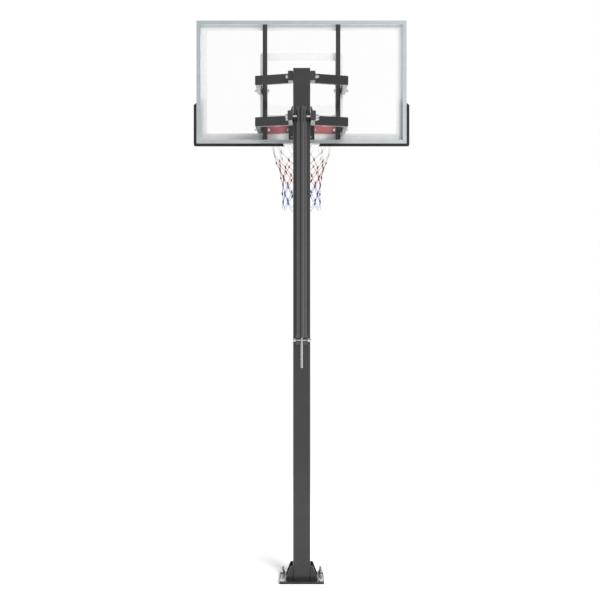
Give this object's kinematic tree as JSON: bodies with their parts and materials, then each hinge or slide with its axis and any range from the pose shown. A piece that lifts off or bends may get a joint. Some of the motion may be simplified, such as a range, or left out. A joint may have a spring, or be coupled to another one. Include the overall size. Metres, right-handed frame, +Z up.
{
  "type": "basketball hoop",
  "caption": "In-ground basketball hoop: square pole on an anchored base plate, glass backboard with corner pads, rim and net, height set by a screw jack on parallel arms.",
  "frame": {"origin": "centre of the base plate's underside, on the ground", "axes": "+Z up along the pole, +Y towards the playing side, +X to the right seen from behind the board"},
  "size_m": [1.4096, 1.273, 3.491],
  "materials": {
    "black_powder_coat": "satin",
    "zinc_plate": "bright zinc",
    "brass": "plain",
    "black_plastic": "matte",
    "silver_anodised": "satin",
    "clear_glass": "clear",
    "pad_rubber": "matte",
    "red_powder_coat": "satin",
    "net_cord": "woven cord"
  },
  "bodies": {
    "pole": {"base_plate": "black_powder_coat", "pole": "black_powder_coat", "pole_cap": "black_plastic", "anchor_stud_front_left": "zinc_plate", "anchor_stud_front_right": "zinc_plate", "anchor_stud_rear_left": "zinc_plate", "anchor_stud_rear_right": "zinc_plate", "anchor_nut_front_left": "zinc_plate", "anchor_nut_front_right": "zinc_plate", "anchor_nut_rear_left": "zinc_plate", "anchor_nut_rear_right": "zinc_plate", "pivot_sleeve_lower": "black_powder_coat", "pivot_sleeve_upper": "black_powder_coat", "lower_pivot_bolt": "zinc_plate", "lower_pivot_nut": "zinc_plate", "upper_pivot_bolt": "zinc_plate", "upper_pivot_nut": "zinc_plate", "jack_foot_bracket": "black_powder_coat", "jack_foot_bolt": "zinc_plate", "jack_foot_nut": "zinc_plate"},
    "lower_arms": {"lower_arm_left": "black_powder_coat", "lower_arm_right": "black_powder_coat", "jack_pin": "zinc_plate", "jack_pin_nut": "zinc_plate"},
    "upper_arms": {"upper_arm_left": "black_powder_coat", "upper_arm_right": "black_powder_coat"},
    "board": {"backboard_glass": "clear_glass", "frame_bottom": "silver_anodised", "frame_top": "silver_anodised", "frame_left": "silver_anodised", "frame_right": "silver_anodised", "upright_left": "black_powder_coat", "upright_right": "black_powder_coat", "corner_pad_left": "pad_rubber", "corner_pad_right": "pad_rubber", "rim_bracket": "black_powder_coat", "rim_brace_left": "red_powder_coat", "rim_brace_right": "red_powder_coat", "brace_bolt_left": "zinc_plate", "brace_bolt_right": "zinc_plate", "rim_bolt_lower_left": "zinc_plate", "rim_bolt_lower_right": "zinc_plate", "rim_bolt_upper_left": "zinc_plate", "rim_bolt_upper_right": "zinc_plate", "rim_plate": "red_powder_coat", "rim_ring": "red_powder_coat", "net": "net_cord", "lower_front_left_bolt": "zinc_plate", "lower_front_left_nut": "zinc_plate", "lower_front_right_bolt": "zinc_plate", "lower_front_right_nut": "zinc_plate", "upper_front_left_bolt": "zinc_plate", "upper_front_left_nut": "zinc_plate", "upper_front_right_bolt": "zinc_plate", "upper_front_right_nut": "zinc_plate"},
    "jack_column": {"jack_column": "black_powder_coat", "jack_nut": "brass"},
    "jack_tube": {"jack_inner_tube": "black_powder_coat"},
    "jack_screw": {"jack_screw": "zinc_plate"}
  },
  "joints": [
    {"name": "arm_lift", "type": "hinge", "parent": "pole", "child": "lower_arms", "pos_m": [0, 0, 2.748], "axis": [1, 0, 0], "range_deg": [-40, 6]},
    {"name": "upper_arm_lift", "type": "hinge", "parent": "pole", "child": "upper_arms", "pos_m": [0, 0, 3.002], "axis": [1, 0, 0], "range_deg": [-40, 6]},
    {"name": "board_level", "type": "hinge", "parent": "lower_arms", "child": "board", "pos_m": [0, 0.47786, 2.781], "axis": [1, 0, 0], "range_deg": [-6, 40]},
    {"name": "jack_tilt", "type": "hinge", "parent": "lower_arms", "child": "jack_column", "pos_m": [0, -0.11473, 2.74008], "axis": [1, 0, 0], "range_deg": [-6, 40]},
    {"name": "jack_slide", "type": "slide", "parent": "jack_column", "child": "jack_tube", "axis": [0, 0, 1], "range_m": [-0.0775, 0.012]},
    {"name": "crank_spin", "type": "hinge", "parent": "jack_tube", "child": "jack_screw", "pos_m": [0, -0.11473, 1.269], "axis": [0, 0, 1], "range_deg": [-5600, 840]}
  ],
  "couplings": [
    {"joint": "upper_arm_lift", "follows": "arm_lift", "ratio": 1},
    {"joint": "board_level", "follows": "arm_lift", "ratio": -1},
    {"joint": "jack_tilt", "follows": "arm_lift", "ratio": -0.982},
    {"joint": "jack_slide", "follows": "arm_lift", "m_per_rad": 0.11},
    {"joint": "crank_spin", "follows": "arm_lift", "ratio": 138.23}
  ]
}
